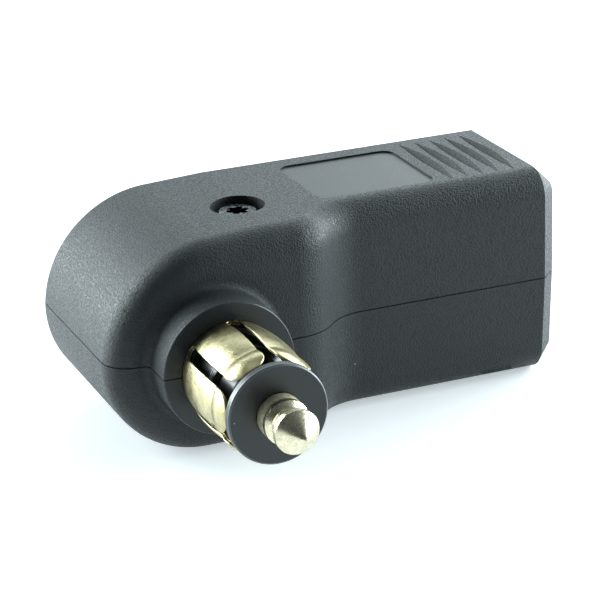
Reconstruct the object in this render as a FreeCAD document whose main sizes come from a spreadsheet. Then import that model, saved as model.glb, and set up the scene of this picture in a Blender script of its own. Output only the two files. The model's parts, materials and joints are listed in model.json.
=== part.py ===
import FreeCAD, Part
import math
import os
import Sketcher

# Right-angle accessory power plug, in millimetres.
# X runs along the housing to the cable end, the plug points to -Y, and Z is up.
# The origin is on the plug's axis, in the front face of the moulded collar.
# The housing is two half shells that meet in the plane of that axis.

DRIVING_SIZES = {
    # Housing, seen from above
    "body_right": 47.76,
    "back_face": 30.1,
    "left_face": 5.0,
    "right_face": 9.45,
    "bend_start": 11.0,
    "bend_end": 20.7,
    # Housing, seen along the plug
    "round_reach": 12.66,
    "bottom_depth": 12.65,
    "bottom_radius": 12.05,
    "top_height": 13.64,
    "shoulder_place": 0.83,
    "crown_place": 8.28,
    "crown_rise": 0.37,
    "draft_upper": 0.2,
    "draft_lower": 1.3,
    "edge_round": 3.4,
    "back_round": 0.7,
    "end_chamfer": 2.2,
    "wall": 1.9,
    "seam_gap": 0.13,
    "seam_depth": 0.7,
    # Collar round the plug
    "collar_radius": 8.06,
    "collar_rim": 0.2,
    "collar_root": 0.9,
    "collar_seat": 7.2,
    # Grips and recess on the top
    "grip_count": 5,
    "grip_first": 34.62,
    "grip_pitch": 2.08,
    "grip_middle": 20.5,
    "grip_length": 15.4,
    "grip_width": 1.5,
    "grip_slope": 1.1,
    "grip_depth": 0.9,
    "label_left": 17.3,
    "label_right": 32.7,
    "label_front": 13.3,
    "label_back": 27.0,
    "label_depth": 0.2,
    "label_corner": 1.6,
    # Housing screw
    "screw_place": 7.8,
    "screw_depth": 16.1,
    "screw_well_radius": 3.3,
    "screw_well": 2.9,
    "screw_head_radius": 2.75,
    "screw_head": 2.2,
    "screw_recess_radius": 0.95,
    "screw_recess_lobe": 0.44,
    "screw_recess_lobes": 6,
    "screw_recess_depth": 1.3,
    "screw_shank_radius": 1.45,
    "screw_length": 16.0,
    "boss_radius": 3.0,
    "well_wall": 1.1,
    # Cable inlet and grip
    "inlet_radius": 3.2,
    "clamp_place": 39.5,
    "clamp_width": 4.0,
    "clamp_bore": 3.0,
    "clamp_wall": 1.4,
    "clamp_ear": 7.7,
    "clamp_thick": 1.8,
    "clamp_screw_offset": 6.05,
    "clamp_screw_head_radius": 1.5,
    "clamp_screw_head": 1.3,
    "clamp_screw_radius": 1.0,
    "clamp_screw_length": 7.0,
    # Contact sleeve
    "sleeve_base": 5.9,
    "sleeve_rise": 0.38,
    "sleeve_crease": 6.05,
    "petal_rise": 0.3,
    "sleeve_tip": 5.78,
    "sleeve_thick": 0.45,
    "sleeve_crease_place": 10.1,
    "sleeve_tip_place": 13.0,
    "slot_start": 0.55,
    "slot_width": 1.35,
    "slot_count": 6,
    "slot_turn": 3.0,
    "petal_round": 1.9,
    "lip_bore": 4.7,
    # Insulator
    "disc_face": 14.33,
    "disc_radius": 5.9,
    "disc_thick": 1.0,
    "disc_bevel": 0.15,
    "core_foot": 1.0,
    "core_radius": 4.7,
    "core_step": 5.9,
    "core_neck": 4.1,
    "flare_start": 9.9,
    "flare_radius": 5.3,
    "spigot": 0.6,
    # Centre pin
    "pin_radius": 2.63,
    "pin_foot_radius": 2.2,
    "pin_foot": 0.15,
    "pin_recess": 0.9,
    "pin_base": 2.4,
    "pin_neck_radius": 2.05,
    "pin_bevel": 0.55,
    "pin_neck_end": 4.5,
    "pin_head_end": 5.2,
    "pin_tip": 7.6,
    "pin_tip_round": 0.35,
    "stud_radius": 2.0,
    "stud_end": 15.0,
    # Parts clamped on the stud
    "ring_width": 2.5,
    "ring_thick": 0.8,
    "insulating_washer": 1.2,
    "terminal_ring_width": 2.0,
    "pin_washer_radius": 3.6,
    "pin_washer": 0.6,
    "lock_washer_radius": 3.3,
    "lock_washer": 0.8,
    "lock_washer_slit": 0.8,
    "nut_across_flats": 7.0,
    "nut_height": 3.0,
    "bulkhead_thick": 1.5,
    "bulkhead_bore": 5.4,
    # Wire terminals
    "strip_width": 4.0,
    "negative_bend": 11.2,
    "positive_bend": 9.5,
    "terminal_offset": 7.4,
    "tab_left": 25.5,
    "tab_right": 33.0,
    "tab_reach": 5.2,
    "tab_screw_place": 29.2,
    "tab_screw_offset": 3.0,
    "tab_screw_radius": 1.25,
    "tab_screw_length": 5.0,
    "tab_screw_head_radius": 2.0,
    "tab_screw_head": 1.8,
    "plate_width": 4.1,
    "plate_thick": 0.8,
    "partition": 1.4,
    "fit_gap": 0.05,
    "rib_gap": 0.1,
    "hole_gap": 0.5,
}

SHEET = "Sizes"
doc = FreeCAD.newDocument("accessory_plug")
sheet = doc.addObject("Spreadsheet::Sheet", SHEET)
for row, (alias, number) in enumerate(DRIVING_SIZES.items(), start=1):
    sheet.set(f"A{row}", alias)
    sheet.set(f"B{row}", str(number))
    sheet.setAlias(f"B{row}", alias)
doc.recompute()


class Size:
    """A length or angle that keeps its number and the expression it came from."""

    def __init__(self, number, text):
        self.number = number
        self.text = text

    @staticmethod
    def of(other):
        """Wrap a plain number; leave a Size as it is."""
        if isinstance(other, Size):
            return other
        return Size(float(other), f"{other}")

    def __add__(self, other):
        other = Size.of(other)
        return Size(self.number + other.number, f"({self.text} + {other.text})")

    def __sub__(self, other):
        other = Size.of(other)
        return Size(self.number - other.number, f"({self.text} - {other.text})")

    def __mul__(self, other):
        other = Size.of(other)
        return Size(self.number * other.number, f"({self.text} * {other.text})")

    def __truediv__(self, other):
        other = Size.of(other)
        return Size(self.number / other.number, f"({self.text} / {other.text})")

    def __neg__(self):
        return Size(-self.number, f"(-1 * {self.text})")

    def root(self):
        """The square root."""
        return Size(self.number ** 0.5, f"sqrt({self.text})")

    __radd__ = __add__
    __rmul__ = __mul__

    def __rsub__(self, other):
        return Size.of(other) - self


class Sizes:
    """The sheet's cells as Size values, one attribute for each alias."""

    def __getattr__(self, alias):
        return Size(float(sheet.get(alias)), f"{SHEET}.{alias}")


d = Sizes()
ZERO = Size(0.0, "0")
mid_y = (d.right_face + d.back_face) / 2


def bind(thing, path, size):
    """Tie one property to the sheet."""
    thing.setExpression(path, Size.of(size).text)


def new_body(label):
    """Start a sub-part."""
    body = doc.addObject("PartDesign::Body", label)
    body.Label = label
    return body


def new_sketch(body, plane, offset=ZERO):
    """A sketch on one of the body's own planes, moved along that plane's normal."""
    offset = Size.of(offset)
    sketch = body.newObject("Sketcher::SketchObject", "sketch")
    face = [f for f in body.Origin.OriginFeatures if f.Role == plane][0]
    sketch.AttachmentSupport = (face, [""])
    sketch.MapMode = "FlatFace"
    sketch.AttachmentOffset = FreeCAD.Placement(FreeCAD.Vector(0, 0, offset.number), FreeCAD.Rotation())
    if offset.text != "0":
        bind(sketch, "AttachmentOffset.Base.z", offset)
    return sketch


def arc_between(start, end, radius, side):
    """The shorter arc from start to end; side 1 bulges to the right of the way, -1 to the left."""
    chord = end - start
    half = chord.Length / 2
    across = FreeCAD.Vector(chord.y, -chord.x, 0).normalize() * side
    rise = radius - max(radius * radius - half * half, 0) ** 0.5
    return Part.Arc(start, (start + end) / 2 + across * rise, end)


def draw_outline(sketch, corners):
    """Draw a closed outline. A corner is (x, y), or (x, y, radius, side) if an arc starts there."""
    points = [FreeCAD.Vector(Size.of(c[0]).number, Size.of(c[1]).number, 0) for c in corners]
    first = sketch.GeometryCount
    count = len(corners)
    starts, ends = [], []
    for i, corner in enumerate(corners):
        here, there = points[i], points[(i + 1) % count]
        if len(corner) == 2:
            sketch.addGeometry(Part.LineSegment(here, there), False)
            starts.append((first + i, 1))
            ends.append((first + i, 2))
            continue
        arc = arc_between(here, there, Size.of(corner[2]).number, corner[3])
        index = sketch.addGeometry(arc, False)
        one, two = [sketch.getPoint(index, i).distanceToPoint(here) for i in (1, 2)]
        starts.append((index, 1 if one < two else 2))
        ends.append((index, 2 if one < two else 1))
    for i, corner in enumerate(corners):
        sketch.addConstraint(Sketcher.Constraint("Coincident", *ends[i - 1], *starts[i]))
        for kind, place in (("DistanceX", corner[0]), ("DistanceY", corner[1])):
            place = Size.of(place)
            index = sketch.addConstraint(Sketcher.Constraint(kind, -1, 1, *starts[i], place.number))
            if place.text != "0":
                bind(sketch, f"Constraints[{index}]", place)
        if len(corner) > 2:
            radius = Size.of(corner[2])
            index = sketch.addConstraint(Sketcher.Constraint("Radius", starts[i][0], radius.number))
            bind(sketch, f"Constraints[{index}]", radius)
    return sketch


def draw_circle(sketch, x, y, radius):
    """Draw a circle at a place given by sizes."""
    x, y, radius = Size.of(x), Size.of(y), Size.of(radius)
    circle = Part.Circle(FreeCAD.Vector(x.number, y.number, 0), FreeCAD.Vector(0, 0, 1), radius.number)
    index = sketch.addGeometry(circle, False)
    for kind, place in (("DistanceX", x), ("DistanceY", y)):
        number = sketch.addConstraint(Sketcher.Constraint(kind, -1, 1, index, 3, place.number))
        if place.text != "0":
            bind(sketch, f"Constraints[{number}]", place)
    number = sketch.addConstraint(Sketcher.Constraint("Radius", index, radius.number))
    bind(sketch, f"Constraints[{number}]", radius)
    return sketch


def rectangle(left, bottom, right, top):
    """The corners of a rectangle."""
    return [(left, bottom), (right, bottom), (right, top), (left, top)]


def pad(body, sketch, length, toward=1, symmetric=False):
    """Extrude a sketch into the body, along its normal or against it or half each way."""
    feature = body.newObject("PartDesign::Pad", "pad")
    feature.Profile = sketch
    bind(feature, "Length", length)
    feature.Reversed = toward < 0
    if symmetric:
        feature.SideType = "Symmetric"
    return feature


def lean_walls(body, base, angle, up):
    """Lean the upright walls inwards from the XY plane, as they leave a mould."""
    doc.recompute()
    names = []
    for i, face in enumerate(base.Shape.Faces, start=1):
        u, v = face.ParameterRange[0], face.ParameterRange[2]
        if abs(face.normalAt(u, v).z) < 1e-6:
            names.append(f"Face{i}")
    feature = body.newObject("PartDesign::Draft", "draft")
    feature.Base = (base, names)
    plane = [f for f in body.Origin.OriginFeatures if f.Role == "XY_Plane"][0]
    feature.NeutralPlane = (plane, [""])
    feature.Reversed = up < 0
    bind(feature, "Angle", angle)
    return feature


def pocket(body, sketch, length, toward=1):
    """Cut a sketch out of the body; toward 1 cuts along the sketch's normal."""
    feature = body.newObject("PartDesign::Pocket", "pocket")
    feature.Profile = sketch
    bind(feature, "Length", length)
    feature.Reversed = toward > 0
    return feature


def revolve(body, sketch):
    """Turn a sketch round its own vertical axis."""
    feature = body.newObject("PartDesign::Revolution", "turned")
    feature.Profile = sketch
    feature.ReferenceAxis = (sketch, ["V_Axis"])
    feature.Angle = 360
    return feature


def turned_body(label, corners, plane="XY_Plane"):
    """A sub-part turned from one profile; its x is the radius."""
    body = new_body(label)
    revolve(body, draw_outline(new_sketch(body, plane), corners))
    return body


def place(body, x=ZERO, y=ZERO, z=ZERO):
    """Put a body at a place given by sizes."""
    for axis, size in (("x", x), ("y", y), ("z", z)):
        if size is not ZERO:
            bind(body, f"Placement.Base.{axis}", size)


def polar(body, feature, axis_name, count):
    """Repeat a feature round an axis of the body."""
    pattern = body.newObject("PartDesign::PolarPattern", "ring")
    pattern.Originals = [feature]
    axis = [f for f in body.Origin.OriginFeatures if f.Role == axis_name][0]
    pattern.Axis = (axis, [""])
    pattern.Angle = 360
    bind(pattern, "Occurrences", count)
    body.Tip = pattern
    return pattern


def edges_where(feature, test):
    """The names of the edges that a test picks."""
    doc.recompute()
    return [f"Edge{i}" for i, edge in enumerate(feature.Shape.Edges, start=1) if test(edge)]


def round_edges(body, base, names, radius):
    """Round the named edges."""
    feature = body.newObject("PartDesign::Fillet", "rounding")
    feature.Base = (base, names)
    bind(feature, "Radius", radius)
    return feature


def bevel_edges(body, base, names, width):
    """Bevel the named edges."""
    feature = body.newObject("PartDesign::Chamfer", "bevel")
    feature.Base = (base, names)
    bind(feature, "Size", width)
    return feature


def boolean(kind, label, base, tools):
    """Join, cut or intersect finished solids."""
    if kind == "Part::Cut":
        tool = tools[0]
        if len(tools) > 1:
            tool = doc.addObject("Part::MultiFuse", f"{label}_tools")
            tool.Shapes = tools
        result = doc.addObject(kind, label)
        result.Base = base
        result.Tool = tool
    else:
        result = doc.addObject(kind, label)
        result.Shapes = [base] + tools
    result.Label = label
    return result


def box(label, left, right, front, back, low, high):
    """A block between named planes."""
    block = doc.addObject("Part::Box", label)
    for prop, size in (("Length", right - left), ("Width", back - front), ("Height", high - low)):
        bind(block, prop, size)
    for axis, size in (("x", left), ("y", front), ("z", low)):
        bind(block, f"Placement.Base.{axis}", size)
    return block


def upright(label, x, y, low, high, radius):
    """A round bar that stands along Z."""
    bar = doc.addObject("Part::Cylinder", label)
    bind(bar, "Radius", radius)
    bind(bar, "Height", high - low)
    for axis, size in (("x", x), ("y", y), ("z", low)):
        bind(bar, f"Placement.Base.{axis}", Size.of(size))
    return bar


def along_x(label, y, z, left, right, radius):
    """A round bar that lies along X."""
    bar = doc.addObject("Part::Cylinder", label)
    bar.Placement = FreeCAD.Placement(FreeCAD.Vector(), FreeCAD.Rotation(FreeCAD.Vector(0, 1, 0), 90))
    bind(bar, "Radius", radius)
    bind(bar, "Height", right - left)
    for axis, size in (("x", left), ("y", y), ("z", z)):
        bind(bar, f"Placement.Base.{axis}", Size.of(size))
    return bar


def along_plug(label, radius, front, back):
    """A round bar on the plug's axis."""
    bar = doc.addObject("Part::Cylinder", label)
    bar.Placement = FreeCAD.Placement(FreeCAD.Vector(), FreeCAD.Rotation(FreeCAD.Vector(1, 0, 0), -90))
    bind(bar, "Radius", radius)
    bind(bar, "Height", Size.of(back) - front)
    bind(bar, "Placement.Base.y", Size.of(front))
    return bar


def rise_radius(run, drop, rise):
    """The radius of an arc over a chord (run, drop) that rises by rise at its middle."""
    return (run * run + drop * drop) / (8 * rise) + rise / 2


# Housing: both halves come from the same outline seen from above, with a two-arc bend in
# the front wall. Seen from the front both end in the same round, but the upper half is
# fuller and its round runs into a slow rise to the crown.

OVER = 3.0
HEXAGON = math.cos(math.pi / 6)
MITRE = math.tan(math.pi / 8)
bend_length = d.bend_end - d.bend_start
bend_drop = d.right_face - d.left_face
bend_radius = (bend_length * bend_length + bend_drop * bend_drop) / (4 * bend_drop)
bend_middle_x = (d.bend_start + d.bend_end) / 2
bend_middle_y = (d.left_face + d.right_face) / 2


class Profile:
    """One half seen from the front: an arc up to the shoulder, then the crown."""

    def __init__(self, up, inset):
        self.up = up
        if up > 0:
            reach = d.round_reach - inset
            self.height = d.top_height - inset
            self.shoulder_x = d.shoulder_place
            self.shoulder_z = self.height - d.crown_rise
            run = d.crown_place - d.shoulder_place
            slant = (run * run + d.crown_rise * d.crown_rise).root()
            wide = reach + self.shoulder_x
            chord = wide * wide + self.shoulder_z * self.shoulder_z
            lean = self.shoulder_z * run - wide * d.crown_rise
            self.radius = chord * slant / (lean * 2)
            self.centre_x = self.shoulder_x + self.radius * d.crown_rise / slant
            self.centre_z = self.shoulder_z - self.radius * run / slant
        else:
            self.height = self.shoulder_z = d.bottom_depth - inset
            self.radius = d.bottom_radius - inset
            self.centre_z = d.bottom_depth - d.bottom_radius
            half_width = (d.bottom_radius * d.bottom_radius - self.centre_z * self.centre_z).root()
            self.shoulder_x = self.centre_x = half_width - d.round_reach

    def corner(self, skirt):
        """The region outside the round and above the crown, from skirt past the parting plane."""
        low = skirt + OVER
        drop = low + self.centre_z
        left = -(d.round_reach + 2 * OVER)
        over = self.height + OVER
        start = self.centre_x - (self.radius * self.radius - drop * drop).root()
        points = [
            (start, -low * self.up, self.radius, -self.up),
            (self.shoulder_x, self.shoulder_z * self.up),
        ]
        crown_x = self.shoulder_x
        if self.up > 0:
            crown_x = d.crown_place
            points.append((crown_x, self.height))
        return points + [(crown_x, over * self.up), (left, over * self.up), (left, -low * self.up)]

    def holds(self, edge):
        """Whether both ends of an edge lie on the profile."""
        rise = (d.crown_rise / (d.crown_place - d.shoulder_place)).number
        for point in (edge.valueAt(edge.FirstParameter), edge.valueAt(edge.LastParameter)):
            across, z = point.x - self.shoulder_x.number, point.z * self.up
            if across < 0:
                away = math.hypot(point.x - self.centre_x.number, z - self.centre_z.number) - self.radius.number
            else:
                away = z - min(self.height.number, self.shoulder_z.number + across * rise)
            if abs(away) > 1e-3:
                return False
        return True


def half_form(label, up, draft, inset, skirt):
    """Half of the housing as a solid block, set in from its outside by inset; up is 1 or -1.

    The block runs past the parting plane by skirt, to be trimmed there later.
    """
    body = new_body(label)
    profile = Profile(up, inset)
    share = inset / bend_radius
    bend_x = bend_middle_x - share * (bend_middle_x - d.bend_start)
    bend_y = bend_middle_y - share * (bend_middle_y - d.left_face - bend_radius)
    left = -(d.round_reach + OVER)
    plan = draw_outline(new_sketch(body, "XY_Plane", -skirt * up), [
        (left, d.left_face + inset),
        (d.bend_start, d.left_face + inset, bend_radius - inset, 1),
        (bend_x, bend_y, bend_radius + inset, -1),
        (d.bend_end, d.right_face + inset),
        (d.body_right - inset, d.right_face + inset),
        (d.body_right - inset, d.back_face - inset),
        (left, d.back_face - inset),
    ])
    lean_walls(body, pad(body, plan, profile.height + skirt, toward=up), draft, up)
    corner = draw_outline(new_sketch(body, "XZ_Plane"), profile.corner(skirt))
    pocket(body, corner, d.back_face + OVER, toward=-1)
    return body


def trim_at_parting(body, up, skirt):
    """Cut away what runs past the parting plane."""
    left = -(d.round_reach + 2 * OVER)
    block = draw_outline(new_sketch(body, "XY_Plane"), rectangle(
        left, -OVER, d.body_right + OVER, d.back_face + OVER))
    pocket(body, block, skirt + OVER, toward=-up)


def half_disc(radius, up):
    """Half a disc on the plug's axis, seen from the front."""
    return [
        (-radius, ZERO, radius, -up),
        (ZERO, radius * up, radius, -up),
        (radius, ZERO),
    ]


def shaped_form(label, up, draft, inset):
    """One half set in by inset, with its rounded front edge and bevelled end."""
    body = half_form(label, up, draft, inset, d.edge_round)
    profile = Profile(up, inset)
    front_limit = d.right_face.number + d.edge_round.number / 2
    end_limit = d.body_right.number - 1
    front = edges_where(body.Tip, lambda e: profile.holds(e) and e.BoundBox.YMax < front_limit)
    feature = round_edges(body, body.Tip, front, d.edge_round - inset)
    end = edges_where(feature, lambda e: e.BoundBox.XMin > end_limit and e.CenterOfMass.z * up > -1e-3)
    bevel_edges(body, feature, end, d.end_chamfer - inset / 2)
    return body


def outer_form(label, up, draft):
    """The outside of one half, with its rounded back edge and its collar."""
    body = shaped_form(label, up, draft, ZERO)
    profile = Profile(up, ZERO)
    back_limit = d.back_face.number - 1
    back = edges_where(body.Tip, lambda e: profile.holds(e) and e.BoundBox.YMin > back_limit)
    round_edges(body, body.Tip, back, d.back_round)
    trim_at_parting(body, up, d.edge_round)

    ring = draw_outline(new_sketch(body, "XZ_Plane"), half_disc(d.collar_radius, up))
    feature = pad(body, ring, d.left_face + d.wall / 2, toward=-1)
    radius = d.collar_radius.number

    def round_collar(edge):
        on_collar = abs(edge.Curve.Radius - radius) < 1e-3 if hasattr(edge.Curve, "Radius") else False
        return on_collar and edge.BoundBox.YMax < 1e-3

    rim = edges_where(feature, round_collar)
    feature = round_edges(body, feature, rim, d.collar_rim)

    def collar_foot(edge):
        places = [edge.valueAt(p) for p in (edge.FirstParameter, edge.LastParameter)]
        on_collar = all(abs((p.x ** 2 + p.z ** 2) ** 0.5 - radius) < 1e-3 for p in places)
        return on_collar and edge.BoundBox.YMin > d.left_face.number - 0.1 and edge.Length > radius

    foot = edges_where(feature, collar_foot)
    round_edges(body, feature, foot, d.collar_root)
    return body


def add_grips(body):
    """Lens-shaped finger grooves across the top: a disc with a sharp edge sunk into the flat."""
    half = d.grip_length / 2
    disc = (half * half + d.grip_depth * d.grip_depth) / (2 * d.grip_depth)
    axis = d.top_height + disc - d.grip_depth
    sketch = draw_outline(new_sketch(body, "XZ_Plane", -d.grip_middle), [
        (d.grip_first, d.top_height - d.grip_depth),
        (d.grip_first + d.grip_slope, d.top_height),
        (d.grip_first + d.grip_slope, d.top_height + OVER),
        (d.grip_first + d.grip_slope - d.grip_width, d.top_height + OVER),
        (d.grip_first + d.grip_slope - d.grip_width, d.top_height),
    ])
    start = FreeCAD.Vector(0, axis.number, 0)
    end = FreeCAD.Vector(disc.number, axis.number, 0)
    line = sketch.addGeometry(Part.LineSegment(start, end), True)
    sketch.addConstraint(Sketcher.Constraint("Horizontal", line))
    for point, x in ((1, 0.0), (2, disc.number)):
        sketch.addConstraint(Sketcher.Constraint("DistanceX", -1, 1, line, point, x))
    index = sketch.addConstraint(Sketcher.Constraint("DistanceY", -1, 1, line, 1, axis.number))
    bind(sketch, f"Constraints[{index}]", axis)
    groove = body.newObject("PartDesign::Groove", "grip")
    groove.Profile = sketch
    groove.ReferenceAxis = (sketch, ["Axis0"])
    groove.Angle = 360
    row = body.newObject("PartDesign::LinearPattern", "grips")
    row.Originals = [groove]
    axis_x = [f for f in body.Origin.OriginFeatures if f.Role == "X_Axis"][0]
    row.Direction = (axis_x, [""])
    bind(row, "Length", d.grip_pitch * (d.grip_count - 1))
    bind(row, "Occurrences", d.grip_count)
    body.Tip = row


def add_label_recess(body):
    """A shallow field with rounded corners in the top."""
    r = d.label_corner
    left, right, front, back = d.label_left, d.label_right, d.label_front, d.label_back
    sketch = draw_outline(new_sketch(body, "XY_Plane", d.top_height), [
        (left + r, front),
        (right - r, front, r, 1),
        (right, front + r),
        (right, back - r, r, 1),
        (right - r, back),
        (left + r, back, r, 1),
        (left, back - r),
        (left, front + r, r, 1),
    ])
    pocket(body, sketch, d.label_depth, toward=-1)


# Inside of the housing: what the shells carry and what is cut through them

stud_bore = d.stud_radius + d.fit_gap
ring_radius = d.lip_bore + d.ring_width
ring_front = d.collar_seat
ring_back = ring_front + d.ring_thick
washer_back = ring_back + d.insulating_washer
terminal_back = washer_back + d.ring_thick
pin_washer_back = terminal_back + d.pin_washer
lock_back = pin_washer_back + d.lock_washer
nut_back = lock_back + d.nut_height
roof_root = d.top_height - d.wall / 2
floor_root = d.bottom_depth - d.wall / 2
bulkhead_radius = d.round_reach - d.wall / 4
strip_low = -d.strip_width / 2
tab_top = strip_low + d.ring_thick
plate_top = tab_top + d.plate_thick
front_strip = mid_y - d.terminal_offset
back_strip = mid_y + d.terminal_offset
clamp_left = d.clamp_place - d.clamp_width / 2
clamp_right = d.clamp_place + d.clamp_width / 2
arch_radius = d.clamp_bore + d.clamp_wall
sleeve_bore = d.sleeve_base + d.fit_gap
screw_seat = d.top_height - d.screw_well
tab_screw_rows = (
    ("negative", front_strip + d.tab_screw_offset),
    ("positive", back_strip - d.tab_screw_offset),
)


def half_ring(label, up, outer, bore, front, back):
    """Half of a flat ring on the plug's axis."""
    body = new_body(label)
    sketch = draw_outline(new_sketch(body, "XZ_Plane", -front), [
        (-outer, ZERO, outer, -up),
        (ZERO, outer * up, outer, -up),
        (outer, ZERO),
        (bore, ZERO, bore, up),
        (ZERO, bore * up, bore, up),
        (-bore, ZERO),
    ])
    pad(body, sketch, back - front, toward=-1)
    return body


def shell_carriers(name, up):
    """The seats and the screw boss that both shells have."""
    bulkhead_front = washer_back + d.rib_gap
    return [
        half_ring(f"{name}_seat", up, d.collar_radius, sleeve_bore, d.left_face + d.wall / 2, d.collar_seat),
        half_ring(f"{name}_bulkhead", up, bulkhead_radius, d.bulkhead_bore, bulkhead_front,
                  bulkhead_front + d.bulkhead_thick),
    ]


def strip_window(name):
    """The gap in the bulkhead where the positive strip passes."""
    half = d.strip_width / 2 + d.hole_gap / 2
    front = ring_back
    back = washer_back + d.rib_gap + d.bulkhead_thick + OVER
    return box(f"{name}_window", ZERO, d.round_reach, front, back, -half, half)


def build_upper_shell():
    """Top half: grips, label field, screw well, strip holders."""
    form = outer_form("upper_form", 1, d.draft_upper)
    add_grips(form)
    add_label_recess(form)
    cavity = half_form("upper_cavity", 1, d.draft_upper, d.wall, OVER)
    walls = boolean("Part::Cut", "upper_walls", form, [cavity])
    holder_low = d.strip_width / 2 + d.rib_gap
    carriers = shell_carriers("upper", 1) + [
        upright("upper_boss", d.screw_place, d.screw_depth, ZERO, roof_root, d.boss_radius),
        upright("upper_well", d.screw_place, d.screw_depth, screw_seat - d.wall, roof_root,
                d.screw_well_radius + d.well_wall),
    ]
    for side, strip in (("front", front_strip), ("back", back_strip - d.ring_thick)):
        carriers.append(box(f"upper_{side}_holder", d.tab_left + d.rib_gap, d.tab_right - d.rib_gap,
                            strip, strip + d.ring_thick, holder_low, roof_root))
    filled = boolean("Part::MultiFuse", "upper_filled", walls, carriers)
    slab = box("seam_slab", -(d.round_reach + OVER), d.body_right + OVER, -OVER, d.back_face + OVER,
               -OVER, d.seam_gap)
    core = shaped_form("seam_core", 1, d.draft_upper, d.seam_depth)
    core_collar = along_plug("seam_collar", d.collar_radius - d.seam_depth, d.seam_depth, d.collar_seat)
    seam = boolean("Part::Cut", "seam", slab, [core, core_collar])
    cuts = [
        seam,
        strip_window("upper"),
        along_plug("upper_bore", sleeve_bore, -OVER, d.collar_seat + d.rib_gap),
        upright("upper_well_hole", d.screw_place, d.screw_depth, screw_seat, d.top_height + OVER,
                d.screw_well_radius),
        upright("upper_screw_hole", d.screw_place, d.screw_depth, -OVER, d.top_height,
                d.screw_shank_radius + d.rib_gap),
        along_x("upper_inlet", mid_y, ZERO, clamp_right, d.body_right + OVER, d.inlet_radius),
    ]
    return boolean("Part::Cut", "upper_shell", filled, cuts)


def build_lower_shell():
    """Bottom half: screw boss, terminal posts with a wall between them, cable saddle."""
    form = outer_form("lower_form", -1, d.draft_lower)
    cavity = half_form("lower_cavity", -1, d.draft_lower, d.wall, OVER)
    walls = boolean("Part::Cut", "lower_walls", form, [cavity])
    carriers = shell_carriers("lower", -1) + [
        upright("lower_boss", d.screw_place, d.screw_depth, -floor_root, ZERO, d.boss_radius),
        box("lower_saddle", clamp_left, clamp_right, d.right_face + d.wall / 2, d.back_face - d.wall / 2,
            -floor_root, ZERO),
        box("lower_partition", d.tab_left, d.tab_right, mid_y - d.partition / 2, mid_y + d.partition / 2,
            -floor_root, plate_top),
    ]
    for side, strip in (("front", front_strip), ("back", back_strip - d.tab_reach)):
        carriers.append(box(f"lower_{side}_post", d.tab_left, d.tab_right, strip, strip + d.tab_reach,
                            -floor_root, strip_low))
    filled = boolean("Part::MultiFuse", "lower_filled", walls, carriers)
    cuts = [
        strip_window("lower"),
        along_plug("lower_bore", sleeve_bore, -OVER, d.collar_seat + d.rib_gap),
        upright("lower_screw_hole", d.screw_place, d.screw_depth, screw_seat - d.screw_length - d.hole_gap,
                OVER, d.screw_shank_radius + d.fit_gap),
        along_x("lower_inlet", mid_y, ZERO, clamp_right, d.body_right + OVER, d.inlet_radius),
        along_x("lower_saddle_groove", mid_y, ZERO, clamp_left - OVER, clamp_right, d.clamp_bore),
    ]
    for sign in (-1, 1):
        cuts.append(upright("clamp_screw_hole", d.clamp_place, mid_y + d.clamp_screw_offset * sign,
                            d.clamp_thick - d.clamp_screw_length - d.hole_gap, OVER,
                            d.clamp_screw_radius + d.fit_gap))
    for side, row in tab_screw_rows:
        cuts.append(upright(f"{side}_screw_hole", d.tab_screw_place, row,
                            plate_top - d.tab_screw_length - d.hole_gap, ZERO,
                            d.tab_screw_radius + d.fit_gap))
    return boolean("Part::Cut", "lower_shell", filled, cuts)


# Contact insert on the plug's axis; front faces have the smaller y

def build_contact_sleeve():
    """Sheet brass sleeve with an inturned rear lip and slots that free six sprung fingers."""
    t = d.sleeve_thick
    front = -d.slot_start
    crease = -d.sleeve_crease_place
    tip = -d.sleeve_tip_place
    shank = rise_radius(crease - front, d.sleeve_crease - d.sleeve_base, d.sleeve_rise)
    petal = rise_radius(tip - crease, d.sleeve_tip - d.sleeve_crease, d.petal_rise)
    body = turned_body("contact_sleeve", [
        (d.sleeve_base, front, shank, -1),
        (d.sleeve_crease, crease, petal, -1),
        (d.sleeve_tip, tip),
        (d.sleeve_tip - t, tip, petal, 1),
        (d.sleeve_crease - t, crease, shank, 1),
        (d.sleeve_base - t, front),
        (d.sleeve_base - t, d.collar_seat - t),
        (d.lip_bore, d.collar_seat - t),
        (d.lip_bore, d.collar_seat),
        (d.sleeve_base, d.collar_seat),
    ])
    half = d.slot_width / 2
    corner = d.petal_round
    outside = d.sleeve_crease + d.sleeve_rise + OVER
    sketch = draw_outline(new_sketch(body, "XY_Plane", outside), [
        (-half, front - half, half, -1),
        (ZERO, front, half, -1),
        (half, front - half),
        (half, tip + corner, corner, 1),
        (half + corner, tip),
        (half + corner, tip - OVER),
        (-half - corner, tip - OVER),
        (-half - corner, tip, corner, 1),
        (-half, tip + corner),
    ])
    slot = pocket(body, sketch, outside - d.core_neck, toward=-1)
    polar(body, slot, "Y_Axis", d.slot_count)
    body.Placement = FreeCAD.Placement(FreeCAD.Vector(), FreeCAD.Rotation(FreeCAD.Vector(0, 1, 0), 1))
    bind(body, "Placement.Rotation.Angle", d.slot_turn)
    return body


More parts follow.
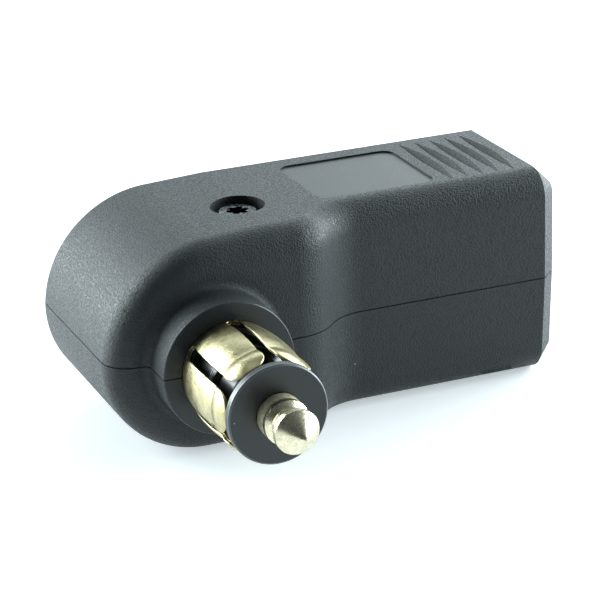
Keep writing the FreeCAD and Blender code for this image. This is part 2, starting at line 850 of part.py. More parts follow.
def build_insulator():
    """Turned plastic core that ends in the disc; the centre pin sits in a recess of its face."""
    face = -d.disc_face
    back = face + d.disc_thick
    bevel = d.disc_bevel
    recess = d.pin_radius + d.fit_gap
    foot = d.sleeve_base - d.sleeve_thick - d.fit_gap
    shoulder = d.collar_seat - d.sleeve_thick
    step = d.core_radius - d.core_neck
    return turned_body("insulator", [
        (stud_bore, face + d.pin_recess),
        (recess, face + d.pin_recess),
        (recess, face),
        (d.disc_radius - bevel, face),
        (d.disc_radius, face + bevel),
        (d.disc_radius, back),
        (d.flare_radius, back),
        (d.core_neck, -d.flare_start),
        (d.core_neck, -d.core_step - step),
        (d.core_radius, -d.core_step),
        (d.core_radius, -d.core_foot),
        (foot, -d.core_foot),
        (foot, shoulder),
        (d.lip_bore - d.fit_gap, shoulder),
        (d.lip_bore - d.fit_gap, d.collar_seat + d.spigot),
        (stud_bore, d.collar_seat + d.spigot),
    ])


def build_centre_pin():
    """Turned pin with a detent neck, a pointed head and a threaded tail."""
    face = -d.disc_face
    neck_back = face - d.pin_base - d.pin_bevel
    neck_front = face - d.pin_neck_end
    head_front = face - d.pin_head_end
    tip = face - d.pin_tip
    head = d.pin_radius - d.fit_gap
    end_bevel = d.stud_radius / 5
    return turned_body("centre_pin", [
        (ZERO, tip),
        (d.pin_tip_round, tip + d.pin_tip_round / 2),
        (head, head_front),
        (head, neck_front),
        (d.pin_neck_radius, neck_front),
        (d.pin_neck_radius, neck_back),
        (d.pin_radius, neck_back + d.pin_bevel),
        (d.pin_radius, face - d.pin_foot),
        (d.pin_foot_radius, face - d.pin_foot),
        (d.pin_foot_radius, face + d.pin_recess),
        (d.stud_radius, face + d.pin_recess),
        (d.stud_radius, d.stud_end - end_bevel),
        (d.stud_radius - end_bevel, d.stud_end),
        (ZERO, d.stud_end),
    ])


def flat_ring(label, outer, bore, front, back):
    """A washer on the plug's axis."""
    return turned_body(label, rectangle(bore, front, outer, back))


def build_lock_washer():
    """Split spring washer."""
    body = flat_ring("lock_washer", d.lock_washer_radius, stud_bore, pin_washer_back, lock_back)
    half = d.lock_washer_slit / 2
    sketch = draw_outline(new_sketch(body, "XY_Plane"), rectangle(
        -half, pin_washer_back - OVER, half, lock_back + OVER))
    pocket(body, sketch, d.lock_washer_radius + OVER, toward=1)
    return body


def build_stud_nut():
    """Hexagon nut."""
    body = new_body("stud_nut")
    apothem = d.nut_across_flats / 2
    corner = apothem / HEXAGON
    sketch = draw_outline(new_sketch(body, "XZ_Plane", -lock_back), [
        (corner, ZERO),
        (corner / 2, apothem),
        (-corner / 2, apothem),
        (-corner, ZERO),
        (-corner / 2, -apothem),
        (corner / 2, -apothem),
    ])
    pad(body, sketch, d.nut_height, toward=-1)
    hole = draw_circle(new_sketch(body, "XZ_Plane", -nut_back), ZERO, ZERO, d.stud_radius + d.fit_gap)
    pocket(body, hole, d.nut_height, toward=1)
    return body


def build_terminal(label, ring_radius, bore, front, bend, strip, inward):
    """Bent brass strip: a ring on the stud, an offset arm, and a tab for the wire screw."""
    t = d.ring_thick
    body = new_body(label)
    ring = draw_circle(new_sketch(body, "XZ_Plane", -front), ZERO, ZERO, ring_radius)
    pad(body, ring, t, toward=-1)
    start = ring_radius - t
    run = strip - front
    arm = draw_outline(new_sketch(body, "XY_Plane"), [
        (start, front),
        (bend + MITRE * t, front),
        (bend + MITRE * t + run, strip),
        (d.tab_right, strip),
        (d.tab_right, strip + t),
        (bend + run, strip + t),
        (bend, front + t),
        (start, front + t),
    ])
    pad(body, arm, d.strip_width, symmetric=True)
    near = strip if inward > 0 else strip + t - d.tab_reach
    tab = draw_outline(new_sketch(body, "XY_Plane", strip_low), rectangle(
        d.tab_left, near, d.tab_right, near + d.tab_reach))
    pad(body, tab, t)
    hole = draw_circle(new_sketch(body, "XZ_Plane", -front), ZERO, ZERO, bore)
    pocket(body, hole, t, toward=-1)
    return body


def finish_terminal(body, row):
    """Drill the tab for its wire screw."""
    hole = draw_circle(new_sketch(body, "XY_Plane", tab_top), d.tab_screw_place, row,
                       d.tab_screw_radius + d.fit_gap)
    pocket(body, hole, d.ring_thick, toward=-1)
    return body


def build_wire_plate(side, row):
    """Square plate that presses the wire on its tab."""
    body = new_body(f"{side}_wire_plate")
    half = d.plate_width / 2
    x = d.tab_screw_place
    sketch = draw_outline(new_sketch(body, "XY_Plane", tab_top), rectangle(
        x - half, row - half, x + half, row + half))
    pad(body, sketch, d.plate_thick)
    hole = draw_circle(new_sketch(body, "XY_Plane", plate_top), x, row, d.tab_screw_radius + d.rib_gap)
    pocket(body, hole, d.plate_thick, toward=-1)
    return body


def slotted_screw(label, x, y, seat, head_radius, head_height, shank_radius, length):
    """A screw that stands along Z, with its head's underside at seat and a straight slot."""
    edge = head_height / 6
    body = turned_body(label, [
        (ZERO, -length),
        (shank_radius - edge, -length),
        (shank_radius, -length + edge),
        (shank_radius, ZERO),
        (head_radius, ZERO),
        (head_radius, head_height - edge),
        (head_radius - edge, head_height),
        (ZERO, head_height),
    ], plane="XZ_Plane")
    slot = draw_outline(new_sketch(body, "XY_Plane", head_height), rectangle(
        -head_radius - OVER, -head_radius / 6, head_radius + OVER, head_radius / 6))
    pocket(body, slot, head_height / 2, toward=-1)
    place(body, x, y, seat)
    return body


def build_housing_screw():
    """Round-headed screw with a six-lobed recess, sunk in its well."""
    head, height, shank = d.screw_head_radius, d.screw_head, d.screw_shank_radius
    edge = height / 4
    body = turned_body("housing_screw", [
        (ZERO, -d.screw_length),
        (shank / 2, -d.screw_length),
        (shank, -d.screw_length + shank),
        (shank, ZERO),
        (head, ZERO),
        (head, height - edge),
        (head - edge, height),
        (ZERO, height),
    ], plane="XZ_Plane")
    recess = d.screw_recess_radius
    core = draw_circle(new_sketch(body, "XY_Plane", height), ZERO, ZERO, recess)
    pocket(body, core, d.screw_recess_depth, toward=-1)
    lobe = draw_circle(new_sketch(body, "XY_Plane", height), recess, ZERO, d.screw_recess_lobe)
    polar(body, pocket(body, lobe, d.screw_recess_depth, toward=-1), "Z_Axis", d.screw_recess_lobes)
    place(body, d.screw_place, d.screw_depth, screw_seat)
    return body


def build_cable_clamp():
    """Arched bar over the cable's way in, held down at both ears."""
    body = new_body("cable_clamp")
    r = d.clamp_bore
    sketch = draw_outline(new_sketch(body, "YZ_Plane", clamp_left), [
        (mid_y - d.clamp_ear, ZERO),
        (mid_y - r, ZERO, r, -1),
        (mid_y, r, r, -1),
        (mid_y + r, ZERO),
        (mid_y + d.clamp_ear, ZERO),
        (mid_y + d.clamp_ear, d.clamp_thick),
        (mid_y + arch_radius, d.clamp_thick),
        (mid_y + arch_radius / 2, arch_radius),
        (mid_y - arch_radius / 2, arch_radius),
        (mid_y - arch_radius, d.clamp_thick),
        (mid_y - d.clamp_ear, d.clamp_thick),
    ])
    pad(body, sketch, d.clamp_width)
    holes = new_sketch(body, "XY_Plane", d.clamp_thick)
    for sign in (-1, 1):
        draw_circle(holes, d.clamp_place, mid_y + d.clamp_screw_offset * sign,
                    d.clamp_screw_radius + d.rib_gap)
    pocket(body, holes, d.clamp_thick, toward=-1)
    return body


def build_clamp_screws():
    """The clamp's two screws, in one node."""
    screws = []
    for sign in (-1, 1):
        screws.append(slotted_screw("clamp_screw", d.clamp_place, mid_y + d.clamp_screw_offset * sign,
                                    d.clamp_thick, d.clamp_screw_head_radius, d.clamp_screw_head,
                                    d.clamp_screw_radius, d.clamp_screw_length))
    group = doc.addObject("Part::Compound", "cable_clamp_screws")
    group.Label = "cable_clamp_screws"
    group.Links = screws
    return group


nodes = [
    build_upper_shell(),
    build_lower_shell(),
    build_housing_screw(),
    build_contact_sleeve(),
    build_insulator(),
    build_centre_pin(),
    flat_ring("insulating_washer", ring_radius, stud_bore, ring_back, washer_back),
    flat_ring("pin_washer", d.pin_washer_radius, stud_bore, terminal_back, pin_washer_back),
    build_lock_washer(),
    build_stud_nut(),
    build_cable_clamp(),
    build_clamp_screws(),
]
terminals = {
    "negative": build_terminal("negative_terminal", ring_radius, d.lip_bore, ring_front,
                               d.negative_bend, front_strip, 1),
    "positive": build_terminal("positive_terminal", stud_bore + d.terminal_ring_width, stud_bore, washer_back,
                               d.positive_bend, back_strip - d.ring_thick, -1),
}
for side, row in tab_screw_rows:
    nodes.append(finish_terminal(terminals[side], row))
    nodes.append(build_wire_plate(side, row))
    nodes.append(slotted_screw(f"{side}_screw", d.tab_screw_place, row, plate_top, d.tab_screw_head_radius,
                               d.tab_screw_head, d.tab_screw_radius, d.tab_screw_length))

doc.recompute()
for thing in doc.Objects:
    if "Invalid" in thing.State or "Error" in thing.State:
        raise RuntimeError(f"{thing.Label} did not build: {thing.State}")
for node in nodes:
    if node.Shape.isNull() or not node.Shape.isValid():
        raise RuntimeError(f"{node.Label} has no valid shape")

os.makedirs("parts", exist_ok=True)
for node in nodes:
    node.Shape.exportStep(f"parts/{node.Label}.step")
    print(f"{node.Label}: {len(node.Shape.Solids)} solid, {node.Shape.Volume:.1f} cubic mm")
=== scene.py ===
"""Looks, light and camera for the right-angle accessory power plug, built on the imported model.

Places are in metres unless a name or comment says millimetres. X runs along the housing to the
cable end, the plug points to -Y, and Z is up.
"""
import json
import math

import bpy
from mathutils import Matrix, Vector


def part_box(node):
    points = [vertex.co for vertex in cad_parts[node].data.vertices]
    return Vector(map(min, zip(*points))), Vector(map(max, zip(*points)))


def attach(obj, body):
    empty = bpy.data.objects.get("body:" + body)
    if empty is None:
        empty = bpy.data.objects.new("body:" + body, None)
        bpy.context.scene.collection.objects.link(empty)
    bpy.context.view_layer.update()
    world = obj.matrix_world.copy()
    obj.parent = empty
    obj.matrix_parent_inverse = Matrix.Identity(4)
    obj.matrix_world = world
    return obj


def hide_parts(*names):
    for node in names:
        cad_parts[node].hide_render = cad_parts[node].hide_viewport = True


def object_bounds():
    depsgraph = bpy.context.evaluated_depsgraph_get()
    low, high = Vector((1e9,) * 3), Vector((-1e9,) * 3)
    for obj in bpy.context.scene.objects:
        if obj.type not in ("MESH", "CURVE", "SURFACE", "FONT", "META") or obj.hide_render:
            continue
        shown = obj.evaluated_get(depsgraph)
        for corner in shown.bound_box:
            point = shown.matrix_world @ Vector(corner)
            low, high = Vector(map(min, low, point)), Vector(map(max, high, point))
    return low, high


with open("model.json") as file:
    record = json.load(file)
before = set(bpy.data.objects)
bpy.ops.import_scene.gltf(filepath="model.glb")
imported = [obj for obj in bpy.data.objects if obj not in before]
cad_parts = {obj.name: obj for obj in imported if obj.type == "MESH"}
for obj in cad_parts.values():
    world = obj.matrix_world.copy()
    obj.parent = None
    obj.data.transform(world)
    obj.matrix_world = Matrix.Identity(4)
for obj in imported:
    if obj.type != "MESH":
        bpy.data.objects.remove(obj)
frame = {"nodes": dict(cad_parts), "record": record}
cad_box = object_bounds()
MM = 0.001


# Shader maths and node trees

class Channel:
    """A socket of a node tree that Python maths can be written with."""

    def __init__(self, network, socket):
        self.network = network
        self.socket = socket

    def maths(self, operation, *others):
        """One Math node with this channel first."""
        values = dict(enumerate((self, *others)))
        return self.network.node("ShaderNodeMath", {"operation": operation}, values)

    def __add__(self, other):
        return self.maths("ADD", other)

    def __sub__(self, other):
        return self.maths("SUBTRACT", other)

    def __rsub__(self, other):
        return self * -1 + other

    def __mul__(self, other):
        return self.maths("MULTIPLY", other)

    def __truediv__(self, other):
        return self.maths("DIVIDE", other)

    def __rtruediv__(self, other):
        return self ** -1 * other

    def __pow__(self, other):
        return self.maths("POWER", other)

    __radd__ = __add__
    __rmul__ = __mul__

    def largest(self, other):
        """The larger of the two."""
        return self.maths("MAXIMUM", other)

    def smallest(self, other):
        """The smaller of the two."""
        return self.maths("MINIMUM", other)

    def size(self):
        """Without its sign."""
        return self.maths("ABSOLUTE")

    def turn(self, other):
        """The angle of the point (other, this), in radians."""
        return self.maths("ARCTAN2", other)

    def sine(self):
        """The sine of an angle in radians."""
        return self.maths("SINE")

    def cosine(self):
        """The cosine of an angle in radians."""
        return self.maths("COSINE")

    def share(self, low, high, **settings):
        """Where this is between low and high, from 0 to 1."""
        values = {"Value": self, "From Min": low, "From Max": high}
        return self.network.node("ShaderNodeMapRange", settings, values)

    def rises(self, low, high):
        """A smooth step from 0 at low to 1 at high."""
        return self.share(low, high, interpolation_type="SMOOTHSTEP")

    def falls(self, low, high):
        """A smooth step from 1 at low to 0 at high."""
        return 1 - self.rises(low, high)

    def between(self, low, high, soft):
        """1 from low to high, with edges of width soft."""
        return self.rises(low - soft, low) * self.falls(high, high + soft)


class Network:
    """A node tree that is filled through one method."""

    def __init__(self, tree):
        self.tree = tree

    def node(self, kind, settings=None, values=None, output=0):
        """Add a node, set it up, fill or link its sockets, and give one of its outputs."""
        made = self.tree.nodes.new(kind)
        for name, setting in (settings or {}).items():
            setattr(made, name, setting)
        for name, value in (values or {}).items():
            if isinstance(value, Channel):
                self.tree.links.new(value.socket, made.inputs[name])
            else:
                made.inputs[name].default_value = value
        outputs = made.outputs
        return Channel(self, outputs[output]) if outputs else None

    def also(self, channel, output):
        """Another output of the node that a channel comes from."""
        return Channel(self, channel.socket.node.outputs[output])

    def split(self, vector):
        """The three parts of a vector."""
        x = self.node("ShaderNodeSeparateXYZ", values={0: vector})
        return x, self.also(x, 1), self.also(x, 2)

    def join(self, x, y, z):
        """A vector from three parts."""
        return self.node("ShaderNodeCombineXYZ", values={0: x, 1: y, 2: z})


class Shading(Network):
    """The node tree of a material or a world."""

    # A Mix node's sockets for colours: several share a name, so they go by number
    SHARE, ONE, OTHER, BLENDED = 0, 6, 7, 2

    def __init__(self, owner):
        owner.use_nodes = True
        owner.node_tree.nodes.clear()
        super().__init__(owner.node_tree)
        self.owner = owner

    def blend(self, share, one, other):
        """A colour between two."""
        values = {self.SHARE: share, self.ONE: one, self.OTHER: other}
        return self.node("ShaderNodeMix", {"data_type": "RGBA"}, values, output=self.BLENDED)


class Finish(Shading):
    """A procedural material."""

    def __init__(self, name):
        super().__init__(bpy.data.materials.new(name))

    def place(self):
        """The point's place on the object, in millimetres."""
        spot = self.node("ShaderNodeTexCoord", output="Object")
        values = {0: spot, "Scale": 1 / MM}
        return self.node("ShaderNodeVectorMath", {"operation": "SCALE"}, values)

    def noise(self, vector, grain, detail=2.0, rough=0.5):
        """Smooth noise between 0 and 1; grain is the size of its blobs in millimetres."""
        values = {"Vector": vector, "Scale": 1 / grain, "Detail": detail, "Roughness": rough}
        return self.node("ShaderNodeTexNoise", values=values)

    def specks(self, vector, spacing, radius, share):
        """Sparse round specks: 1 inside them; share is how many cells hold one."""
        full, step = 0.6, 0.001
        values = {"Vector": vector, "Scale": 1 / spacing}
        away = self.node("ShaderNodeTexVoronoi", values=values)
        cell = self.split(self.also(away, "Color"))[0]
        near = away.falls(radius / spacing * full, radius / spacing)
        return near * cell.rises(1 - share, 1 - share + step)

    def bump(self, height, depth, under=None):
        """A normal from a height; depth is in millimetres."""
        values = {"Height": height, "Distance": depth * MM}
        if under:
            values["Normal"] = under
        return self.node("ShaderNodeBump", values=values)

    def surface(self, **values):
        """Finish with one Principled shader; a socket's spaces are underscores."""
        named = {name.replace("_", " "): value for name, value in values.items()}
        shader = self.node("ShaderNodeBsdfPrincipled", values=named)
        self.node("ShaderNodeOutputMaterial", values={"Surface": shader})
        return self.owner


def rgb(red, green, blue):
    """An opaque colour in linear light."""
    return (red, green, blue, 1.0)


# Places on the object, in millimetres, where its finishes change

HOUSING_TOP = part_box("upper_shell")[1][2] / MM
FIELD_WIDTH, FIELD_DEPTH, FIELD_EDGE = (17.3, 32.7), (13.3, 27.0), 0.05
FIELD_FLOOR, FIELD_STEP = (HOUSING_TOP - 0.35, HOUSING_TOP - 0.1), 0.02
COLLAR_FACE = (0.1, 0.3)
# The insulator's painted highlights: a pale band round the disc's rim at its front, and two pale lines
# round its core
DISC_RIM, DISC_FRONT = (5.66, 5.74), (-14.1, -13.95)
CORE_HIGHLIGHT_LINES, LINE_EDGE = ((-4.9, -4.8), (-5.35, -5.25)), 0.05
CORE_REACH = (5.0, 5.1)
PIN_FOOT = (-16.2, -15.9)


# Finishes: lengths are in millimetres

def spark_eroded_plastic():
    """Black housing plastic: a fine pitted grain, finer in the shallow field and on the collar."""
    finish = Finish("housing_plastic")
    place = finish.place()
    x, y, z = finish.split(place)
    in_field = x.between(*FIELD_WIDTH, FIELD_EDGE) * y.between(*FIELD_DEPTH, FIELD_EDGE)
    field = in_field * z.between(*FIELD_FLOOR, FIELD_STEP)
    smooth = field.largest(y.falls(*COLLAR_FACE))
    pits = finish.noise(place, 0.24, rough=0.8).rises(0.36, 0.64)
    cloud = finish.noise(place, 7.0)
    dust = finish.specks(place, 2.2, 0.09, 0.035)
    black = finish.blend(cloud, rgb(0.015, 0.020, 0.022), rgb(0.019, 0.024, 0.026))
    depth = pits * (1 - smooth * 0.8)
    return finish.surface(
        Base_Color=finish.blend(dust, black, rgb(0.5, 0.55, 0.55)),
        Roughness=depth * 0.28 + 0.34 + field * 0.04,
        Normal=finish.bump(depth, 0.036),
        Specular_IOR_Level=0.42,
    )


def plain_plastic():
    """Plain moulded black of the hidden clamp."""
    finish = Finish("clamp_plastic")
    grain = finish.noise(finish.place(), 0.4, detail=3.0)
    return finish.surface(
        Base_Color=finish.blend(grain, rgb(0.022, 0.024, 0.025), rgb(0.028, 0.03, 0.031)),
        Roughness=grain * 0.1 + 0.4,
        Normal=finish.bump(grain, 0.01),
    )


def turned_plastic():
    """Satin black with faint turning marks, a painted highlight round the disc's rim and two painted
    highlight lines on the core.
    """
    finish = Finish("insulator_plastic")
    place = finish.place()
    x, y, z = finish.split(place)
    radius = (x * x + z * z) ** 0.5
    marks = finish.noise(finish.join(radius, y, 0.0), 0.12, detail=3.0)
    dust = finish.specks(place, 1.3, 0.09, 0.06)
    # A painted highlight: a pale band round the disc's rim at its front
    rim_highlight = radius.rises(*DISC_RIM) * y.falls(*DISC_FRONT)
    # Painted highlights: two pale lines round the core, faded out beyond the core's radius
    back_highlight_line, front_highlight_line = (y.between(*line, LINE_EDGE) for line in CORE_HIGHLIGHT_LINES)
    painted_highlights = rim_highlight * 0.22 + (back_highlight_line + front_highlight_line) * radius.falls(*CORE_REACH)
    # The black with its painted highlights blended in, in a pale blue-grey
    black = finish.blend(painted_highlights, rgb(0.014, 0.018, 0.020), rgb(0.40, 0.46, 0.52))
    return finish.surface(
        Base_Color=finish.blend(dust, black, rgb(0.5, 0.5, 0.48)),
        Roughness=marks * 0.12 + 0.28,
        Normal=finish.bump(marks, 0.004),
    )


def sleeve_brass():
    """Pale spring brass: a soft sheen with rub marks along the plug and small dull spots."""
    finish = Finish("sleeve_brass")
    place = finish.place()
    x, y, z = finish.split(place)
    around, along = x.turn(z) * 30.0, y * 0.8
    streaks = finish.noise(finish.join(around, along, 0.0), 0.6, detail=4.0, rough=0.65)
    dents = finish.noise(place, 1.8)
    tarnish = finish.noise(place, 1.5, detail=5.0, rough=0.7).rises(0.35, 0.7)
    ripple = finish.bump(dents, 0.06)
    return finish.surface(
        Base_Color=finish.blend(tarnish, rgb(0.62, 0.56, 0.33), rgb(0.40, 0.35, 0.18)),
        Metallic=1.0,
        Roughness=streaks * 0.3 + 0.16,
        Normal=finish.bump(streaks, 0.012, under=ripple),
    )


def pin_metal():
    """Turned pin: satin plating worn to a grain, and duller at its foot."""
    finish = Finish("plated_pin")
    place = finish.place()
    x, y, z = finish.split(place)
    radius = (x * x + z * z) ** 0.5
    marks = finish.noise(finish.join(radius, y, 0.0), 0.1)
    grain = finish.noise(place, 0.15, detail=3.0, rough=0.7)
    wear = finish.noise(place, 0.5, detail=4.0, rough=0.7).rises(0.3, 0.7)
    rubbed = finish.bump(grain, 0.012)
    return finish.surface(
        Base_Color=finish.blend(wear, rgb(0.82, 0.77, 0.58), rgb(0.58, 0.53, 0.36)),
        Metallic=1.0,
        Roughness=grain * 0.3 + 0.14 + y.rises(*PIN_FOOT) * 0.3,
        Normal=finish.bump(marks, 0.004, under=rubbed),
    )


def plain_metal(name, colour, rough, dents=0.02):
    """Metal of a small part, with faint clouds of dullness; dents is their depth."""
    finish = Finish(name)
    cloud = finish.noise(finish.place(), 0.9, detail=3.0)
    duller = [part * 0.85 for part in colour]
    return finish.surface(
        Base_Color=finish.blend(cloud, rgb(*colour), rgb(*duller)),
        Metallic=1.0,
        Roughness=cloud * 0.15 + rough,
        Normal=finish.bump(cloud, dents),
    )


finishes = {
    "housing_plastic": spark_eroded_plastic(),
    "clamp_plastic": plain_plastic(),
    "insulator_plastic": turned_plastic(),
    "sleeve_brass": sleeve_brass(),
    "plated_pin": pin_metal(),
    "terminal_brass": plain_metal("terminal_brass", (0.75, 0.58, 0.25), 0.25),
    "black_steel": plain_metal("black_steel", (0.045, 0.05, 0.055), 0.10, dents=0.35),
    "plated_steel": plain_metal("plated_steel", (0.72, 0.72, 0.70), 0.3),
}
slots = {part["node"]: part["material_slot"] for part in frame["record"]["subparts"]}
for name, node in frame["nodes"].items():
    node.data.materials.clear()
    node.data.materials.append(finishes[slots[name]])


# The sleeve's six sprung fingers, by rule

FINGER_INPUTS = {
    "Fingers": 6,
    "Turn": math.radians(57.0),
    "Columns": 33,
    "Rows": 151,
    "Slot": 1.35 * MM,
    "Slot end": -0.1 * MM,
    "Keyhole": 1.25,
    "Crease": -9.6 * MM,
    "Tip": -13.0 * MM,
    "Corner": 1.9 * MM,
    "Seat": 7.2 * MM,
    "Lip bore": 4.7 * MM,
    "Radius": 5.9 * MM,
    "Crease radius": 6.05 * MM,
    "Tip radius": 5.78 * MM,
    "Shank rise": 0.38 * MM,
    "Petal rise": 0.3 * MM,
    "Sheet": 0.45 * MM,
    "Edge": 0.16 * MM,
}


class FingerRule(Network):
    """Geometry nodes that bend one grid to a finger, repeat it, and give the sheet its thickness."""

    # The grid's rows, as shares of its length: the seat's inner lip, the ring in the collar, the
    # slot's round end, the finger's straight sides and its rounded corners
    LIP, RING, SLOT_END = (0.0, 0.04), (0.04, 0.12), (0.12, 0.32)
    STRAIGHT, CORNERS = (0.32, 0.80), (0.80, 1.0)
    # The share of the straight sides over which the slot narrows from its wider end
    NARROWING = (0.0, 0.15)
    # Rounds of smoothing over the crease, and the distance within which points are doubles
    CREASE_ROUNDS = 9
    DOUBLES = 0.0002 * MM
    QUARTER = math.pi / 2

    def __init__(self, inputs):
        super().__init__(bpy.data.node_groups.new("sprung_fingers", "GeometryNodeTree"))
        kinds = {name: "Int" if isinstance(value, int) else "Float" for name, value in inputs.items()}
        self.sockets = {name: self.socket(name, "INPUT", kind) for name, kind in kinds.items()}
        self.sockets["Finish"] = self.socket("Finish", "INPUT", "Material")
        self.socket("Geometry", "OUTPUT", "Geometry")
        first = self.node("NodeGroupInput")
        self.given = {name: self.also(first, name) for name in self.sockets}
        self.node("NodeGroupOutput", values={0: self.solid()})

    def socket(self, name, way, kind):
        """A named input or output of the tree."""
        return self.tree.interface.new_socket(name, in_out=way, socket_type="NodeSocket" + kind)

    def shank_and_petal(self, y):
        """The outer radius at a place along the plug: two shallow bulges that meet in the crease."""
        given = self.given
        along_shank = y.share(given["Slot end"], given["Crease"])
        along_petal = y.share(given["Crease"], given["Tip"])
        slopes = (given["Radius"] + (given["Crease radius"] - given["Radius"]) * along_shank
                  + (given["Tip radius"] - given["Crease radius"]) * along_petal)
        # Four times t (1 - t) is a bulge of height 1 in the middle
        bulges = (given["Shank rise"] * along_shank * (1 - along_shank)
                  + given["Petal rise"] * along_petal * (1 - along_petal)) * 4
        values = {"Value": slopes + bulges, "Iterations": self.CREASE_ROUNDS}
        return self.node("GeometryNodeBlurAttribute", {"data_type": "FLOAT"}, values)

    def bent(self, grid):
        """The grid as one finger's outer face, with its share of the ring behind it."""
        given = self.given
        across, along = self.split(self.node("GeometryNodeInputPosition"))[:2]
        across = (across * math.pi).sine()
        along = along + 0.5
        lip, ring, sides = (along.share(*rows) for rows in (self.LIP, self.RING, self.STRAIGHT))
        arch, corner = (along.share(*rows) * self.QUARTER for rows in (self.SLOT_END, self.CORNERS))
        half_slot = given["Slot"] * 0.5
        straight = given["Slot end"] - half_slot - given["Tip"] - given["Corner"]
        y = (given["Seat"] - ring * (given["Seat"] - given["Slot end"])
             - half_slot * (1 - arch.cosine()) - straight * sides - given["Corner"] * corner.sine())
        wider = 1 + (given["Keyhole"] - 1) * (1 - sides.share(*self.NARROWING))
        gap = half_slot * wider * arch.sine() + given["Corner"] * (1 - corner.cosine())
        radius = self.shank_and_petal(y)
        half_turn = math.pi / given["Fingers"]
        half_width = radius * half_turn - gap
        to_edge = (half_width * (1 - across.size())).smallest(y - given["Tip"])
        edge = given["Edge"] * arch.sine()
        depth = (edge - to_edge).largest(0.0)
        drop = edge - (edge * edge - depth * depth).largest(0.0) ** 0.5
        radius = radius - drop - (1 - lip) * (given["Radius"] - given["Lip bore"])
        angle = across * half_width / (half_width + gap) * half_turn
        place = self.join(radius * angle.cosine(), y, radius * angle.sine())
        return self.node("GeometryNodeSetPosition", values={"Geometry": grid, "Position": place})

    def merged(self, mesh):
        """A mesh with its double points made one."""
        values = {"Geometry": mesh, "Distance": self.DOUBLES}
        return self.node("GeometryNodeMergeByDistance", values=values)

    def solid(self):
        """All fingers round the plug's axis, as one closed sheet of even thickness."""
        given = self.given
        grid = self.node("GeometryNodeMeshGrid", values={
            "Vertices X": given["Columns"], "Vertices Y": given["Rows"]})
        finger = self.bent(grid)
        points = self.node("GeometryNodePoints", values={"Count": given["Fingers"]})
        number = self.node("GeometryNodeInputIndex")
        angle = (number * (2 * math.pi) / given["Fingers"] + given["Turn"]) * -1
        turned = self.node("GeometryNodeInstanceOnPoints", values={
            "Points": points, "Instance": finger, "Rotation": self.join(0.0, angle, 0.0)})
        outside = self.merged(self.node("GeometryNodeRealizeInstances", values={"Geometry": turned}))
        smooth = self.node("GeometryNodeSetShadeSmooth", values={0: outside, "Shade Smooth": True})
        inward = self.node("GeometryNodeExtrudeMesh", values={
            "Mesh": smooth, "Offset Scale": given["Sheet"] * -1, "Individual": False})
        flat_sides = self.node("GeometryNodeSetShadeSmooth", values={
            0: inward, "Selection": self.also(inward, "Side"), "Shade Smooth": False})
        inside = self.node("GeometryNodeFlipFaces", values={"Mesh": flat_sides})
        both = self.node("GeometryNodeJoinGeometry", values={"Geometry": smooth})
        self.tree.links.new(inside.socket, both.socket.node.inputs["Geometry"])
        return self.node("GeometryNodeSetMaterial", values={
            "Geometry": self.merged(both), "Material": given["Finish"]})


def sprung_fingers():
    """The contact sleeve with its rounded fingers, made from the rule and left as a mesh."""
    rule = FingerRule(FINGER_INPUTS)
    piece = bpy.data.objects.new("sleeve_fingers", bpy.data.meshes.new("sleeve_fingers"))
    bpy.context.collection.objects.link(piece)
    modifier = piece.modifiers.new("sprung_fingers", "NODES")
    modifier.node_group = rule.tree
    for name, value in dict(FINGER_INPUTS, Finish=finishes["sleeve_brass"]).items():
        modifier[rule.sockets[name].identifier] = value
    shaped = piece.evaluated_get(bpy.context.evaluated_depsgraph_get())
    mesh = bpy.data.meshes.new_from_object(shaped)
    piece.modifiers.clear()
    piece.data = mesh
    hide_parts("contact_sleeve")
    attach(piece, "root")


sprung_fingers()


# Studio: pale floor, soft light, and the camera at the photograph's view

FLOOR_REACH = 3.0
FLOOR_GLOW = 0.48
COOL = (0.89, 1.0, 1.03)
# How strongly the world lights the object from each side
SIDES = {"left": 0.05, "right": 0.85, "front": 0.10, "above": 0.10}
# Name, place, target, width and height in metres, and power in watts
PLUG = (0.0, 0.0, 0.0)
LAMPS = (
    ("lamp_above", (0.02, 0.10, 0.70), (0.02, 0.0, 0.0), 0.6, 0.6, 0.6),
    ("lamp_left", (-0.60, 0.25, 0.08), PLUG, 0.4, 0.15, 1.0),
    ("lamp_back_left", (-0.40, 0.50, 0.30), PLUG, 0.4, 0.3, 5.0),
    ("lamp_back_left_low", (-0.45, 0.55, 0.08), PLUG, 0.4, 0.15, 3.4),
    ("lamp_back", (0.25, 0.65, 0.30), PLUG, 0.8, 0.5, 2.3),
    ("lamp_right_back", (0.45, 0.45, 0.20), PLUG, 0.4, 0.3, 0.8),
    ("lamp_right", (0.60, 0.04, 0.17), PLUG, 0.5, 0.4, 8.0),
)
# The camera that was fitted to the photograph's edges: angles in degrees, sensor and lens in
# millimetres
CAMERA_PLACE = (-0.0941637, -0.2484787, 0.1114273)
HEADING, DROP, ROLL = 22.5116, 21.2349, -1.6327
SENSOR_WIDTH, FOCAL_LENGTH = 36.0, 151.673
NEAREST, FARTHEST = 0.01, 20.0


def white_floor():
    """A floor that looks white to the camera and keeps the object's shadow."""
    finish = Finish("studio_floor")
    camera = finish.node("ShaderNodeLightPath", output="Is Camera Ray")
    glossy, through = (finish.also(camera, f"Is {ray} Ray") for ray in ("Glossy", "Transmission"))
    seen = camera.largest(glossy).largest(through)
    return finish.surface(
        Base_Color=rgb(0.80, 0.80, 0.81),
        Roughness=0.6,
        Emission_Color=finish.blend(seen, rgb(0.0, 0.0, 0.0), rgb(0.90, 1.0, 1.04)),
        Emission_Strength=FLOOR_GLOW,
    )


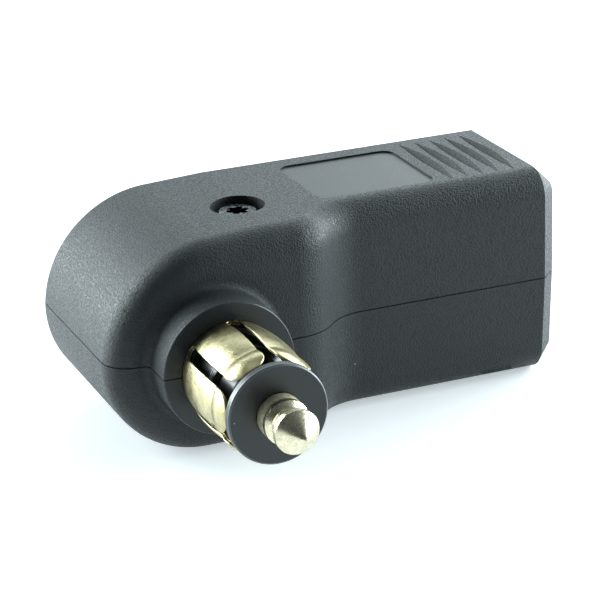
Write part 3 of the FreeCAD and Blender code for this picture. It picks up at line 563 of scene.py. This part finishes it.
def studio_world():
    """White to the camera; to the object, light that differs by side."""
    shading = Shading(bpy.data.worlds.new("studio_world"))
    towards = shading.node("ShaderNodeTexCoord", output="Generated")
    x, y, z = shading.split(towards)
    lobes = {"left": x * -1, "right": x, "front": y * -1, "above": z}
    level = sum(lobe.largest(0.0) ** 2 * SIDES[side] for side, lobe in lobes.items())
    camera = shading.node("ShaderNodeLightPath", output="Is Camera Ray")
    seen = camera.largest(shading.also(camera, "Is Transmission Ray"))
    light = shading.node("ShaderNodeBackground", values={"Color": rgb(*COOL), "Strength": level})
    white = shading.node("ShaderNodeBackground", values={"Color": rgb(1, 1, 1), "Strength": 1.0})
    choice = shading.node("ShaderNodeMixShader", values={0: seen, 1: light, 2: white})
    shading.node("ShaderNodeOutputWorld", values={"Surface": choice})
    bpy.context.scene.world = shading.owner


def soft_box(name, place, target, width, height, power):
    """A rectangular lamp at place that faces target."""
    light = bpy.data.lights.new(name, "AREA")
    light.shape = "RECTANGLE"
    light.size = width
    light.size_y = height
    light.energy = power
    light.color = COOL
    lamp = bpy.data.objects.new(name, light)
    bpy.context.collection.objects.link(lamp)
    facing = (Vector(target) - Vector(place)).to_track_quat("-Z", "Y").to_matrix().to_4x4()
    lamp.matrix_world = Matrix.Translation(place) @ facing


def photo_camera():
    """The camera at the photograph's view, without shift or depth of field."""
    heading, drop, roll = (math.radians(angle) for angle in (HEADING, DROP, ROLL))
    reach = math.cos(drop)
    forward = Vector((math.sin(heading) * reach, math.cos(heading) * reach, -math.sin(drop)))
    level = forward.cross(Vector((0, 0, 1))).normalized()
    upright = level.cross(forward)
    right = level * math.cos(roll) + upright * math.sin(roll)
    up = upright * math.cos(roll) - level * math.sin(roll)
    lens = bpy.data.cameras.new("photo_camera")
    lens.sensor_width = SENSOR_WIDTH
    lens.lens = FOCAL_LENGTH
    lens.clip_start, lens.clip_end = NEAREST, FARTHEST
    camera = bpy.data.objects.new("photo_camera", lens)
    bpy.context.collection.objects.link(camera)
    turn = Matrix((right, up, -forward)).transposed().to_4x4()
    camera.matrix_world = Matrix.Translation(CAMERA_PLACE) @ turn
    bpy.context.scene.camera = camera


def studio_floor():
    """A wide plane under the object."""
    low = cad_box[0][2]
    mesh = bpy.data.meshes.new("floor")
    corners = [(x * FLOOR_REACH, y * FLOOR_REACH, low) for x, y in ((-1, -1), (1, -1), (1, 1), (-1, 1))]
    mesh.from_pydata(corners, [], [(0, 1, 2, 3)])
    mesh.materials.append(white_floor())
    floor = bpy.data.objects.new("floor", mesh)
    bpy.context.collection.objects.link(floor)


studio_floor()
studio_world()
for lamp in LAMPS:
    soft_box(*lamp)
photo_camera()
bpy.context.scene.view_settings.view_transform = "Standard"
